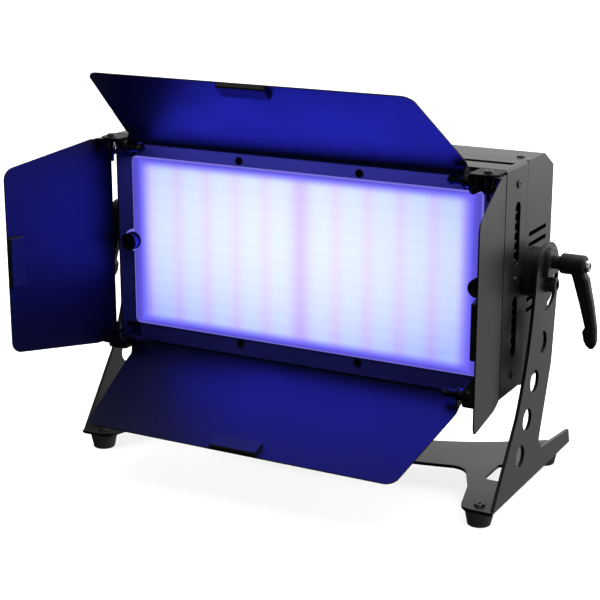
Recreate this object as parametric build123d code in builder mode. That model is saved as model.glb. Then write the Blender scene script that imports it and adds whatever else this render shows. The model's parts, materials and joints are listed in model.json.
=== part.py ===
from build123d import *
import os
from math import cos, radians, sin

# LED panel light on a floor yoke, with four barn doors.  Millimetres, +Z up, front faces -Y.
# Origin: floor level, on the plane of symmetry, midway between the front-most and rear-most
# points.  Every sketch plane below is placed from the middle of the housing's front face, so
# the numbers in the sketches are distances from that point: x right, y back, z up.

os.makedirs("parts", exist_ok=True)

# ---- driving dimensions -------------------------------------------------------------------
FACE_Y = -8.605          # depth of the housing's front face in the part's frame
AXIS_Z = 199.0           # height of the housing's middle above the floor

HOUSING_W = 388.8
HOUSING_H = 200.6
HOUSING_D = 113.5
SHELL_D = 49.4           # depth of the front shell; the rear cover makes up the rest
WALL = 2.0
CHAMFER_Y = 23.8         # rear edges of the cover slope in by this much ...
CHAMFER_Z = 13.6         # ... and by this much
HALF_W = HOUSING_W / 2
HALF_H = HOUSING_H / 2

WINDOW_W = 334.0         # lit opening in the front wall
WINDOW_H = 148.0
DIFFUSER_W = 350.0
DIFFUSER_H = 160.6
DIFFUSER_T = 3.0
LOBE_R = 10.5            # round lobes of the diffuser under the two thumb knobs
KNOB_X = 175.0

YOKE_HALF = 210.2        # outer face of each arm
PLATE = 3.0              # yoke plate thickness
ARM_IN = YOKE_HALF - PLATE
BASE_TOP = -182.0
BASE_BOTTOM = BASE_TOP - PLATE
FLOOR = -AXIS_Z

PIVOT_Y = 66.0           # tilt axis
PIVOT_Z = -10.0
SLOT_R = 20.4            # the clamp stud runs round the pivot bolt at this radius
SLOT_W = 8.6
SLOT_SWEEP = 188.0       # degrees, from straight above the bolt rearwards
STUD_R = 4.0
BOSS_R = 21.8
HEAD_R = 28.5            # round top of each arm
CLAMP_Z = PIVOT_Z + SLOT_R

HINGE_Y = -19.0          # all four door axes lie this far in front of the face
HINGE_Z = 92.0           # top and bottom door axes
HINGE_X = 185.5          # side door axes
SHEET = 1.2              # barn door sheet
TOP_OPEN = 38.6          # rest angles, measured outwards from straight ahead
BOTTOM_OPEN = 20.7
SIDE_OPEN = 12.5

FIT = 0.05               # radial clearance of a running fit
GAP = 0.3                # clearance between parts that move past each other
FACE_GAP = 0.1           # clearance between flat faces that slide


def facing_front(y, x=0.0, z=0.0):
    """Sketch plane facing -Y, y behind the housing's front face."""
    return Plane(origin=(x, FACE_Y + y, AXIS_Z + z), x_dir=(1, 0, 0), z_dir=(0, -1, 0))


def facing_right(x, y=0.0, z=0.0):
    """Sketch plane facing +X; its local axes are y back and z up."""
    return Plane(origin=(x, FACE_Y + y, AXIS_Z + z), x_dir=(0, 1, 0), z_dir=(1, 0, 0))


def facing_left(x, y=0.0, z=0.0):
    """Sketch plane facing -X; its local axes are y forward and z up."""
    return Plane(origin=(x, FACE_Y + y, AXIS_Z + z), x_dir=(0, -1, 0), z_dir=(-1, 0, 0))


def facing_up(z, x=0.0, y=0.0):
    """Sketch plane facing +Z."""
    return Plane(origin=(x, FACE_Y + y, AXIS_Z + z), x_dir=(1, 0, 0), z_dir=(0, 0, 1))


def facing_down(z, x=0.0, y=0.0):
    """Sketch plane facing -Z."""
    return Plane(origin=(x, FACE_Y + y, AXIS_Z + z), x_dir=(1, 0, 0), z_dir=(0, 0, -1))


def facing_back(y, x=0.0, z=0.0):
    """Sketch plane facing +Y; its local x axis points left, as seen from behind."""
    return Plane(origin=(x, FACE_Y + y, AXIS_Z + z), x_dir=(-1, 0, 0), z_dir=(0, 1, 0))


def save(piece, name):
    """Label a finished piece and write its STEP file."""
    piece.part.label = name
    export_step(piece.part, "parts/" + name + ".step")


def cross_screws(planes, head_r, head_h, shank_r, shank_l):
    """Pan-head screws with a cross recess: heads stand on the planes, shanks go down."""
    tops = [plane.offset(head_h) for plane in planes]
    with BuildPart() as screws:
        with BuildSketch(*planes):
            Circle(head_r)
        extrude(amount=head_h, taper=18)
        with BuildSketch(*planes):
            Circle(shank_r)
        extrude(amount=-shank_l)
        with BuildSketch(*tops):
            Rectangle(head_r, head_r * 0.25)
            Rectangle(head_r * 0.25, head_r)
        extrude(amount=-head_h * 0.6, mode=Mode.SUBTRACT)
    return screws


# ---- yoke: two arms bent up from one base plate --------------------------------------------
ARM_FRONT_FOOT = (-48.0, BASE_BOTTOM)      # arm outline as (y, z)
ARM_FRONT_KNEE = (3.7, -115.0)
ARM_FRONT_MID = (27.5, -57.0)
HEAD_Y = 66.2            # middle of the arm's round top
HEAD_Z = -1.3
ARM_REAR_KNEE = (85.0, -86.0)
ARM_REAR_LOW = (60.0, -153.0)
REAR_LOBE_Y = 148.0
ARM_HOLES = [(59.6, -61.2), (42.8, -92.0), (28.1, -123.0), (13.7, -152.4)]
ARM_HOLE_R = 10.2
FOOT_X = 193.7
FOOT_HOLE_R = 2.25
FEET_Y = (-35.8, 124.0)
SPIGOT_R = 5.25          # mounting hole in the middle of the base
SPIGOT_Y = 45.0

with BuildPart() as yoke_bracket:
    with BuildSketch(facing_right(YOKE_HALF)) as arm_outline:
        with BuildLine():
            Line(ARM_FRONT_FOOT, ARM_FRONT_KNEE)
            front = ThreePointArc(ARM_FRONT_KNEE, ARM_FRONT_MID, (HEAD_Y - HEAD_R, HEAD_Z))
            top = ThreePointArc(front @ 1, (HEAD_Y, HEAD_Z + HEAD_R), (HEAD_Y + HEAD_R, HEAD_Z))
            Polyline(
                top @ 1,
                ARM_REAR_KNEE,
                ARM_REAR_LOW,
                (68.0, -162.0),
                (REAR_LOBE_Y - 4, -169.4),
                (REAR_LOBE_Y, BASE_BOTTOM),
                ARM_FRONT_FOOT,
            )
        make_face()
        inner_corner = arm_outline.vertices().sort_by_distance((*ARM_REAR_LOW, 0))[0]
        fillet(inner_corner, 5)
    extrude(amount=-PLATE)
    with BuildSketch(facing_right(YOKE_HALF)):
        with Locations(*ARM_HOLES):
            Circle(ARM_HOLE_R)
        with Locations((PIVOT_Y, PIVOT_Z)):
            Circle(STUD_R + FIT)
        # arc slot round the pivot, with round ends
        with BuildLine():
            outer = CenterArc((PIVOT_Y, PIVOT_Z), SLOT_R + SLOT_W / 2, 90 - SLOT_SWEEP, SLOT_SWEEP)
            inner = CenterArc((PIVOT_Y, PIVOT_Z), SLOT_R - SLOT_W / 2, 90 - SLOT_SWEEP, SLOT_SWEEP)
            for end, along in ((0, -1), (1, 1)):
                middle = (outer @ end + inner @ end) / 2 + (outer % end) * along * SLOT_W / 2
                ThreePointArc(outer @ end, middle, inner @ end)
        make_face()
    extrude(amount=-PLATE, mode=Mode.SUBTRACT)
    mirror(about=Plane.YZ)
    with BuildSketch(facing_up(BASE_BOTTOM)):
        with BuildLine():
            front = ThreePointArc((0, 20), (70, 24.4), (136, 37))
            lobe = Line((168, 0), (178, -38))
            TangentArc(front @ 1, (156, 26), tangent=front % 1)
            Line((156, 26), (168, 0))
            TangentArc(lobe @ 1, (192, -48), tangent=lobe % 1)
            Line((192, -48), (YOKE_HALF, -48))
            Line((YOKE_HALF, -48), (YOKE_HALF, REAR_LOBE_Y))
            Line((YOKE_HALF, REAR_LOBE_Y), (196, 142))
            Line((196, 142), (150, 111))
            ThreePointArc((150, 111), (76, 80.3), (0, 70))
            Line((0, 70), (0, 20))
        make_face()
        mirror(about=Plane.YZ)
    extrude(amount=PLATE)
    with BuildSketch(facing_up(BASE_BOTTOM)):
        for side in (-1, 1):
            with Locations((side * 188.5, 41)):
                RectangleRounded(29, 40, 6)
            with Locations(*[(side * FOOT_X, y) for y in FEET_Y]):
                Circle(FOOT_HOLE_R)
        with Locations((0, SPIGOT_Y)):
            Circle(SPIGOT_R)
    extrude(amount=PLATE, mode=Mode.SUBTRACT)
    # outer edge of both bends
    lowest = yoke_bracket.edges().filter_by(Axis.Y).group_by(Axis.Z)[0]
    fillet(lowest.group_by(Axis.X)[0] + lowest.group_by(Axis.X)[-1], 2.5)
save(yoke_bracket, "yoke_bracket")

# ---- feet ----------------------------------------------------------------------------------
FOOT_TOP_R = 13.0
FOOT_TAPER = 12.0        # degrees
FOOT_HOLLOW_R = 5.0      # hollow underneath that hides the screw
FOOT_H = BASE_BOTTOM - FLOOR
foot_points = [(side * FOOT_X, y) for side in (-1, 1) for y in FEET_Y]

with BuildPart() as rubber_feet:
    with BuildSketch(facing_down(BASE_BOTTOM)):
        with Locations(*[(x, -y) for x, y in foot_points]):
            Circle(FOOT_TOP_R)
    extrude(amount=FOOT_H, taper=FOOT_TAPER)
    with BuildSketch(facing_up(BASE_BOTTOM)):
        with Locations(*foot_points):
            Circle(FOOT_HOLE_R)
    extrude(amount=-FOOT_H, mode=Mode.SUBTRACT)
    with BuildSketch(facing_up(FLOOR)):
        with Locations(*foot_points):
            Circle(FOOT_HOLLOW_R)
    extrude(amount=5, mode=Mode.SUBTRACT)
    floor_edges = rubber_feet.edges().filter_by(GeomType.CIRCLE).group_by(Axis.Z)[0]
    fillet(floor_edges.filter_by(lambda e: e.radius > FOOT_HOLLOW_R + 1), 1)
save(rubber_feet, "rubber_feet")

foot_screws = cross_screws([facing_up(BASE_TOP, *point) for point in foot_points], 4.8, 1.8, 2.1, 9)
save(foot_screws, "foot_screws")

# ---- housing: front shell and rear cover ---------------------------------------------------
VENT_Y = 28.0            # side and top air slots of the shell are centred this far back
VENT_L = 54.8
VENT_W = 12.4
VENT_Z = 41.3
TOP_VENT_L = 184.0
TOP_VENT_W = 9.0
SIDE_SCREW_Z = (84.0, 0.0, -84.0)
COVER_SCREW = (182.7, 61.4)
FRAME_SCREWS = [(60.0, 85.5), (60.0, -85.5)]
SCREW_R = 2.0

with BuildPart() as front_shell:
    with BuildSketch(facing_front(SHELL_D)):
        RectangleRounded(HOUSING_W, HOUSING_H, 2.5)
    extrude(amount=SHELL_D)
    offset(amount=-WALL, openings=front_shell.faces().sort_by(Axis.Y)[-1])
    with BuildSketch(facing_front(0)):
        RectangleRounded(WINDOW_W, WINDOW_H, 4)
        with Locations((-KNOB_X, 0), (KNOB_X, 0)):
            Circle(SCREW_R + FIT)
        with Locations(*[(side * x, z) for side in (-1, 1) for x, z in FRAME_SCREWS]):
            Circle(SCREW_R)
    extrude(amount=-WALL, mode=Mode.SUBTRACT)
    with BuildSketch(facing_right(HALF_W)):
        with Locations((VENT_Y, VENT_Z), (VENT_Y, -VENT_Z)):
            SlotOverall(VENT_L, VENT_W, rotation=90)
        with Locations(*[(VENT_Y, z) for z in SIDE_SCREW_Z]):
            Circle(SCREW_R)
    extrude(amount=-HOUSING_W, mode=Mode.SUBTRACT)
    with BuildSketch(facing_up(HALF_H)):
        with Locations((-TOP_VENT_L / 2 - 5, VENT_Y), (TOP_VENT_L / 2 + 5, VENT_Y)):
            RectangleRounded(TOP_VENT_L, TOP_VENT_W, 1.5)
    extrude(amount=-HOUSING_H, mode=Mode.SUBTRACT)
    # tabs that reach inside the rear cover and take its screws
    with BuildSketch(facing_up(HALF_H - WALL)):
        with Locations((-COVER_SCREW[0], 54), (COVER_SCREW[0], 54)):
            Rectangle(14, 32)
        with Locations((-COVER_SCREW[0], COVER_SCREW[1]), (COVER_SCREW[0], COVER_SCREW[1])):
            Circle(SCREW_R, mode=Mode.SUBTRACT)
    extrude(amount=-WALL)
    mirror(about=Plane.XY.offset(AXIS_Z))
save(front_shell, "front_shell")

SIDE_SLOTS_Z = (34.0, 24.5, -24.5, -34.0)
FAN_R = 38.0
FAN_SCREW = 35.75        # half the fan's screw spacing
FUSE = (-115.0, 14.0)
FUSE_R = 7.5
AC_IN = (-140.0, -30.0)
AC_OUT = (-92.0, -30.0)
AC_W = 28.0
AC_H = 20.5
DMX_IN = (92.0, -36.0)
DMX_OUT = (138.0, -36.0)
DMX_R = 11.9
DISPLAY = (115.0, 38.0)
DISPLAY_W = 58.0
DISPLAY_H = 20.0
BUTTON_R = 4.0
BUTTONS = {"menu": 91.0, "up": 107.0, "down": 123.0, "enter": 139.0}
BUTTON_Z = 10.0
BACK = HOUSING_D
SEAM = 0.3

with BuildPart() as rear_cover:
    with BuildSketch(facing_right(-HALF_W)):
        with BuildLine():
            Polyline(
                (SHELL_D + SEAM, -HALF_H),
                (HOUSING_D - CHAMFER_Y, -HALF_H),
                (HOUSING_D, -HALF_H + CHAMFER_Z),
                (HOUSING_D, HALF_H - CHAMFER_Z),
                (HOUSING_D - CHAMFER_Y, HALF_H),
                (SHELL_D + SEAM, HALF_H),
                close=True,
            )
        make_face()
    extrude(amount=HOUSING_W)
    offset(amount=-WALL, openings=rear_cover.faces().sort_by(Axis.Y)[0], kind=Kind.INTERSECTION)
    long_edges = rear_cover.edges().filter_by(Axis.X).filter_by(lambda e: e.length > HOUSING_W - 1)
    fillet(long_edges.group_by(Axis.Y)[1:], 1.5)
    with BuildSketch(facing_right(HALF_W)):
        with Locations(*[(78.5, z) for z in SIDE_SLOTS_Z]):
            SlotOverall(43.5, 4.2)
        with Locations((PIVOT_Y, PIVOT_Z), (PIVOT_Y, CLAMP_Z)):
            Circle(STUD_R)
    extrude(amount=-HOUSING_W, mode=Mode.SUBTRACT)
    with BuildSketch(facing_up(HALF_H)):
        with Locations((-COVER_SCREW[0], COVER_SCREW[1]), COVER_SCREW):
            Circle(SCREW_R)
    extrude(amount=-HOUSING_H, mode=Mode.SUBTRACT)
    with BuildSketch(facing_front(BACK)):
        Circle(FAN_R)
        with GridLocations(2 * FAN_SCREW, 2 * FAN_SCREW, 2, 2):
            Circle(SCREW_R)
        with Locations(FUSE):
            Circle(FUSE_R)
        with Locations(AC_IN, AC_OUT):
            Rectangle(AC_W, AC_H)
        with Locations(DMX_IN, DMX_OUT):
            Circle(DMX_R)
            with Locations((9.5, 12), (-9.5, -12)):
                Circle(1.5)
        with Locations(DISPLAY):
            RectangleRounded(DISPLAY_W, DISPLAY_H, 1.5)
        with Locations(*[(x, BUTTON_Z) for x in BUTTONS.values()]):
            Circle(BUTTON_R + GAP)
    extrude(amount=WALL, mode=Mode.SUBTRACT)
save(rear_cover, "rear_cover")

# ---- barn door frame and its four corner brackets ------------------------------------------
FRAME_W = 384.0
FRAME_H = 194.0
FRAME_T = 1.5
BRACKET_T = 1.5
EAR_TOP = 100.3          # outer face of the ears that carry the side doors
EAR_SIDE = 172.8         # outer face of the ears that carry the top and bottom doors
EAR_R = 8.8              # the ears end this far round their pivots
BRACKET_LOW = 81.2       # the brackets stay clear of the diffuser
BRACKET_X = 184.5        # outer end of the back plates, clear of the side doors' near edges
PIN_R = 2.0

with BuildPart() as barn_door_frame:
    with BuildSketch(facing_front(0)):
        RectangleRounded(FRAME_W, FRAME_H, 3)
        RectangleRounded(DIFFUSER_W + 1, DIFFUSER_H + 1, 4.5, mode=Mode.SUBTRACT)
        with Locations((-KNOB_X, 0), (KNOB_X, 0)):
            Circle(LOBE_R + 0.5, mode=Mode.SUBTRACT)
        with Locations(*[(side * x, z) for side in (-1, 1) for x, z in FRAME_SCREWS]):
            Circle(SCREW_R, mode=Mode.SUBTRACT)
    extrude(amount=FRAME_T)
save(barn_door_frame, "barn_door_frame")

with BuildPart() as hinge_brackets:
    # back plate on the frame
    plate_x = EAR_SIDE - BRACKET_T
    with BuildSketch(facing_front(-FRAME_T, (BRACKET_X + plate_x) / 2, (EAR_TOP + BRACKET_LOW) / 2)):
        Rectangle(BRACKET_X - plate_x, EAR_TOP - BRACKET_LOW)
    extrude(amount=BRACKET_T)
    # ear across the top, for the side door: square inner corner, round outer corner
    with BuildSketch(facing_up(EAR_TOP, x=HINGE_X, y=HINGE_Y)) as top_ear:
        with BuildLine():
            Polyline(
                (EAR_R, 0),
                (EAR_R, -HINGE_Y - FRAME_T),
                (plate_x - HINGE_X, -HINGE_Y - FRAME_T),
                (plate_x - HINGE_X, -EAR_R),
                (0, -EAR_R),
            )
            RadiusArc((EAR_R, 0), (0, -EAR_R), EAR_R)
        make_face()
        fillet(top_ear.vertices().sort_by_distance((plate_x - HINGE_X, -EAR_R, 0))[0], 2)
        Circle(PIN_R, mode=Mode.SUBTRACT)
    extrude(amount=-BRACKET_T)
    # ear down the side, for the top door: its lower front corner is round
    with BuildSketch(facing_right(EAR_SIDE, y=HINGE_Y, z=HINGE_Z)) as side_ear:
        with BuildLine():
            Polyline(
                (-EAR_R, EAR_TOP - HINGE_Z),
                (-HINGE_Y - FRAME_T, EAR_TOP - HINGE_Z),
                (-HINGE_Y - FRAME_T, BRACKET_LOW - HINGE_Z),
                (-EAR_R, BRACKET_LOW - HINGE_Z),
                close=True,
            )
        make_face()
        fillet(side_ear.vertices().sort_by_distance((-EAR_R, BRACKET_LOW - HINGE_Z, 0))[0], 11)
        fillet(side_ear.vertices().sort_by_distance((-EAR_R, EAR_TOP - HINGE_Z, 0))[0], 2)
        Circle(PIN_R, mode=Mode.SUBTRACT)
    extrude(amount=-BRACKET_T)
    mirror(about=Plane.XY.offset(AXIS_Z))
    mirror(about=Plane.YZ)
save(hinge_brackets, "hinge_brackets")

# ---- hinge hardware: screw, spacer, friction spring and lock nut on every pivot ------------
TOP_TAB = 166.0          # outer faces of the doors' pivot tabs
SIDE_TAB = 98.0
SPRING_R = 4.8           # wide end, against the door's tab
SPRING_L = 9.0
SPRING_TAPER = 9.0       # degrees
NUT_L = 4.0


def pivot_planes(outer_x, outer_z):
    """Planes across the eight door pivots, at one distance along each pivot's own axis."""
    planes = []
    for z in (-HINGE_Z, HINGE_Z):
        planes.append(facing_right(outer_x, HINGE_Y, z))
        planes.append(facing_left(-outer_x, HINGE_Y, z))
    for x in (-HINGE_X, HINGE_X):
        planes.append(facing_up(outer_z, x, HINGE_Y))
        planes.append(facing_down(-outer_z, x, HINGE_Y))
    return planes


ear_planes = pivot_planes(EAR_SIDE, EAR_TOP)
hinge_screws = cross_screws(ear_planes, 4.4, 2.4, PIN_R, 23)
save(hinge_screws, "hinge_screws")

SPACER_R = 5.5
with BuildPart() as hinge_spacers:
    with BuildSketch(*pivot_planes(EAR_SIDE - BRACKET_T, 0)[:4]):
        Circle(SPACER_R)
        Circle(PIN_R + FIT, mode=Mode.SUBTRACT)
    extrude(amount=TOP_TAB + FACE_GAP - EAR_SIDE + BRACKET_T)
    with BuildSketch(*pivot_planes(0, EAR_TOP - BRACKET_T)[4:]):
        Circle(SPACER_R)
        Circle(PIN_R + FIT, mode=Mode.SUBTRACT)
    extrude(amount=SIDE_TAB + FACE_GAP - EAR_TOP + BRACKET_T)
save(hinge_spacers, "hinge_spacers")

spring_planes = pivot_planes(TOP_TAB - SHEET - FACE_GAP, SIDE_TAB - SHEET - FACE_GAP)
with BuildPart() as hinge_springs:
    with BuildSketch(*spring_planes):
        Circle(SPRING_R)
    extrude(amount=-SPRING_L, taper=SPRING_TAPER)
    with BuildSketch(*spring_planes):
        Circle(PIN_R + GAP)
    extrude(amount=-SPRING_L, mode=Mode.SUBTRACT)
save(hinge_springs, "hinge_springs")

with BuildPart() as hinge_nuts:
    with BuildSketch(*[plane.offset(-SPRING_L) for plane in spring_planes]):
        RegularPolygon(3.5, 6, major_radius=False)
        Circle(PIN_R, mode=Mode.SUBTRACT)
    extrude(amount=-NUT_L)
save(hinge_nuts, "hinge_nuts")

# ---- barn doors ----------------------------------------------------------------------------
# Each door: how far its sheet lies outside the hinge axis, where it starts and ends along the
# door, its half widths at the near edge, at the widest and at the outer edge, and its tabs.
LONG_DOOR = {
    "off": 10.0,
    "near": -11.5,
    "length": 112.5,
    "half_near": 160.0,
    "half_wide": 167.0,
    "half_end": 151.5,
    "tab_outer": TOP_TAB,
}
SHORT_DOOR = {
    "off": 12.0,
    "near": -10.0,
    "length": 116.5,
    "half_near": 95.5,
    "half_wide": 98.0,
    "half_end": 83.5,
    "tab_outer": SIDE_TAB,
}
NECK_V = 3.0             # the outline is nearly at its widest this far along the door ...
WIDE_V = 14.0            # ... and at its widest here
TAB_R = 6.5
TAB_V = (-8.0, 9.0)      # foot of each tab on the sheet
PAD_L = 46.0
PAD_W = 16.5
PAD_T = 4.0


def door_plane(origin, along, out):
    """Plane through a hinge axis: x along the axis, y along the door, z towards the beam."""
    return Plane(origin=origin, x_dir=along, z_dir=Vector(*along).cross(Vector(*out)))


def make_door(hinge, off, near, length, half_near, half_wide, half_end, tab_outer):
    """Trapezoid sheet with a pivot tab folded in at each end of its hinge side."""
    sheet_plane = hinge.offset(-off)
    with BuildPart() as door:
        with BuildSketch(sheet_plane) as outline:
            with BuildLine():
                Polyline(
                    (-half_near, near),
                    (half_near, near),
                    (half_wide - 1.0, NECK_V),
                    (half_wide, WIDE_V),
                    (half_end, length),
                    (-half_end, length),
                    (-half_wide, WIDE_V),
                    (-half_wide + 1.0, NECK_V),
                    close=True,
                )
            make_face()
            fillet(outline.vertices().group_by(Axis.Y)[-1], 11)
            with Locations((0, sum(TAB_V) / 2)):
                Rectangle(2 * tab_outer, TAB_V[1] - TAB_V[0])
        extrude(amount=-SHEET)
        for end in (-1, 1):
            tab = Plane(
                origin=hinge.from_local_coords(Vector(end * tab_outer, 0, 0)),
                x_dir=hinge.y_dir,
                z_dir=hinge.x_dir * end,
            )
            foot = -end * (off + SHEET)
            with BuildSketch(tab):
                with BuildLine():
                    Polyline((-TAB_R, 0), (TAB_R, 0), (TAB_V[1], foot), (TAB_V[0], foot), close=True)
                make_face()
                Circle(TAB_R)
                Circle(PIN_R + FIT, mode=Mode.SUBTRACT)
            extrude(amount=-SHEET)
    return door


def make_pad(hinge, off, length):
    """Soft block on the inner face of a door, flush with its outer edge."""
    with BuildPart() as pad:
        with BuildSketch(hinge.offset(-off)):
            with Locations((0, length - PAD_W / 2)):
                RectangleRounded(PAD_L, PAD_W, 1.5)
        extrude(amount=PAD_T)
        chamfer(pad.faces().sort_by(lambda f: hinge.to_local_coords(f.center()).Z)[-1].edges(), 1)
    return pad


top_out = (0, -cos(radians(TOP_OPEN)), sin(radians(TOP_OPEN)))
bottom_out = (0, -cos(radians(BOTTOM_OPEN)), -sin(radians(BOTTOM_OPEN)))
right_out = (sin(radians(SIDE_OPEN)), -cos(radians(SIDE_OPEN)), 0)
left_out = (-right_out[0], right_out[1], 0)
hinge_y = FACE_Y + HINGE_Y
hinge_planes = {
    "top_door": door_plane((0, hinge_y, AXIS_Z + HINGE_Z), (1, 0, 0), top_out),
    "bottom_door": door_plane((0, hinge_y, AXIS_Z - HINGE_Z), (-1, 0, 0), bottom_out),
    "left_door": door_plane((-HINGE_X, hinge_y, AXIS_Z), (0, 0, 1), left_out),
    "right_door": door_plane((HINGE_X, hinge_y, AXIS_Z), (0, 0, -1), right_out),
}
for name, hinge in hinge_planes.items():
    size = LONG_DOOR if name in ("top_door", "bottom_door") else SHORT_DOOR
    save(make_door(hinge, **size), name)
    save(make_pad(hinge, size["off"], size["length"]), name + "_pad")

# ---- diffuser and its two thumb knobs ------------------------------------------------------
KNOB_R = 8.2
KNOB_FRONT = -12.0
KNOB_BACK = -DIFFUSER_T - FACE_GAP

with BuildPart() as diffuser_panel:
    with BuildSketch(facing_front(0)):
        RectangleRounded(DIFFUSER_W, DIFFUSER_H, 4)
        with Locations((-KNOB_X, 0), (KNOB_X, 0)):
            Circle(LOBE_R)
            Circle(SCREW_R + GAP, mode=Mode.SUBTRACT)
    extrude(amount=DIFFUSER_T)
    chamfer(diffuser_panel.faces().sort_by(Axis.Y)[0].outer_wire().edges(), 0.5)
save(diffuser_panel, "diffuser_panel")

for name, side in (("retaining_knob_left", -1), ("retaining_knob_right", 1)):
    with BuildPart() as knob:
        with BuildSketch(facing_front(KNOB_BACK, side * KNOB_X)):
            Circle(KNOB_R)
            with PolarLocations(KNOB_R + 0.4, 24):
                Circle(0.8, mode=Mode.SUBTRACT)
        extrude(amount=KNOB_BACK - KNOB_FRONT)
        with BuildSketch(facing_front(KNOB_FRONT, side * KNOB_X)):
            Circle(KNOB_R - 2.2)
        extrude(amount=-0.6, mode=Mode.SUBTRACT)
        with BuildSketch(facing_front(KNOB_BACK, side * KNOB_X)):
            Circle(SCREW_R)
        extrude(amount=-9)
    save(knob, name)

# ---- light engine: LED board, chips, heat sink ---------------------------------------------
LED_Y = 9.0
CHIP_T = 1.2
BOARD_T = 1.6
SINK_Y = LED_Y + CHIP_T + BOARD_T
SINK_T = 4.0
FIN_BACK = 46.0
FIN_PITCH = 8.4
FIN_T = 2.0
SINK_W = 384.4           # the fins end just inside the side walls
CHIP_COLUMNS = 18
CHIP_ROWS = 6

with BuildPart() as led_chips:
    with BuildSketch(facing_front(LED_Y + CHIP_T)):
        with GridLocations(18.6, 24.0, CHIP_COLUMNS, CHIP_ROWS):
            RectangleRounded(5, 5, 0.6)
    extrude(amount=CHIP_T)
save(led_chips, "led_chips")

with BuildPart() as led_board:
    with BuildSketch(facing_front(SINK_Y)):
        Rectangle(344, 158)
        with GridLocations(148.8, 120, 3, 2):
            Circle(1.6, mode=Mode.SUBTRACT)
    extrude(amount=BOARD_T)
save(led_board, "led_board")

with BuildPart() as heat_sink:
    with BuildSketch(facing_right(-SINK_W / 2)):
        with Locations((SINK_Y + SINK_T / 2, 0)):
            Rectangle(SINK_T, 184)
        with Locations(*[((SINK_Y + FIN_BACK) / 2, index * FIN_PITCH) for index in range(-9, 10)]):
            Rectangle(FIN_BACK - SINK_Y, FIN_T)
    extrude(amount=SINK_W)
    # three thick ribs reach the housing's sides and take its screws
    with BuildSketch(facing_right(-HALF_W + WALL)):
        with Locations(*[((SINK_Y + FIN_BACK) / 2, z) for z in SIDE_SCREW_Z]):
            Rectangle(FIN_BACK - SINK_Y, 7)
    extrude(amount=HOUSING_W - 2 * WALL)
    with BuildSketch(facing_right(HALF_W)):
        with Locations(*[(VENT_Y, z) for z in SIDE_SCREW_Z]):
            Circle(SCREW_R)
    extrude(amount=-15, mode=Mode.SUBTRACT)
    with BuildSketch(facing_left(-HALF_W)):
        with Locations(*[(-VENT_Y, z) for z in SIDE_SCREW_Z]):
            Circle(SCREW_R)
    extrude(amount=-15, mode=Mode.SUBTRACT)
save(heat_sink, "heat_sink")

# ---- electronics on a plate behind the fins ------------------------------------------------
PLATE_Y = FIN_BACK
CHASSIS_T = 1.5
STAND_OFF = 8.0
BOARD_CENTRE = (112.0, 8.0)
BOARD_W = 118.0
BOARD_H = 112.0
BOARD_Y = PLATE_Y + CHASSIS_T + STAND_OFF
PSU_CENTRE = (-112.0, 4.0)

with BuildPart() as chassis_plate:
    with BuildSketch(facing_back(PLATE_Y)):
        RectangleRounded(350, 172, 4)
        Circle(FAN_R, mode=Mode.SUBTRACT)
    extrude(amount=CHASSIS_T)
save(chassis_plate, "chassis_plate")

with BuildPart() as board_standoffs:
    with BuildSketch(facing_back(PLATE_Y + CHASSIS_T, BOARD_CENTRE[0], BOARD_CENTRE[1])):
        with GridLocations(BOARD_W - 10, BOARD_H - 10, 2, 2):
            RegularPolygon(3.2, 6)
    extrude(amount=STAND_OFF)
save(board_standoffs, "board_standoffs")

with BuildPart() as driver_board:
    board_back = facing_back(BOARD_Y, BOARD_CENTRE[0], BOARD_CENTRE[1])
    with BuildSketch(board_back):
        Rectangle(BOARD_W, BOARD_H)
    extrude(amount=BOARD_T)
    with BuildSketch(board_back.offset(BOARD_T)):
        with GridLocations(24, 60, 4, 2):
            Circle(6)
    extrude(amount=14)
    with BuildSketch(board_back.offset(BOARD_T)):
        with GridLocations(30, 1, 3, 1):
            RectangleRounded(16, 16, 2)
    extrude(amount=9)
save(driver_board, "driver_board")

with BuildPart() as power_supply:
    with BuildSketch(facing_back(PLATE_Y + CHASSIS_T, PSU_CENTRE[0], PSU_CENTRE[1])):
        Rectangle(126, 98)
    extrude(amount=30)
    chamfer(power_supply.edges().filter_by(Axis.Y), 1.5)
    with BuildSketch(facing_back(PLATE_Y + CHASSIS_T + 30, PSU_CENTRE[0], PSU_CENTRE[1])):
        with GridLocations(9, 9, 10, 8):
            Circle(2.4)
    extrude(amount=-1.5, mode=Mode.SUBTRACT)
save(power_supply, "power_supply")

# ---- fan -----------------------------------------------------------------------------------
FAN_T = 25.0
FAN_SIZE = 80.0
INNER_BACK = HOUSING_D - WALL
ROTOR_R = 36.5
HUB_R = 16.0
BLADES = 7
pitch = radians(38)      # of the blades

with BuildPart() as fan_frame:
    with BuildSketch(facing_front(INNER_BACK)):
        RectangleRounded(FAN_SIZE, FAN_SIZE, 4)
        Circle(FAN_R, mode=Mode.SUBTRACT)
        with GridLocations(2 * FAN_SCREW, 2 * FAN_SCREW, 2, 2):
            Circle(SCREW_R, mode=Mode.SUBTRACT)
    extrude(amount=FAN_T)
    # motor mount on three struts, towards the heat sink, with the rotor's shaft
    with BuildSketch(facing_front(INNER_BACK - FAN_T + 3)):
        Circle(HUB_R - 0.5)
        with PolarLocations(0, 3, start_angle=90):
            with Locations((26.5, 0)):
                Rectangle(25, 4)
    extrude(amount=3)
    with BuildSketch(facing_back(INNER_BACK - FAN_T + 3)):
        Circle(1.5)
    extrude(amount=14)
save(fan_frame, "fan_frame")

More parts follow.
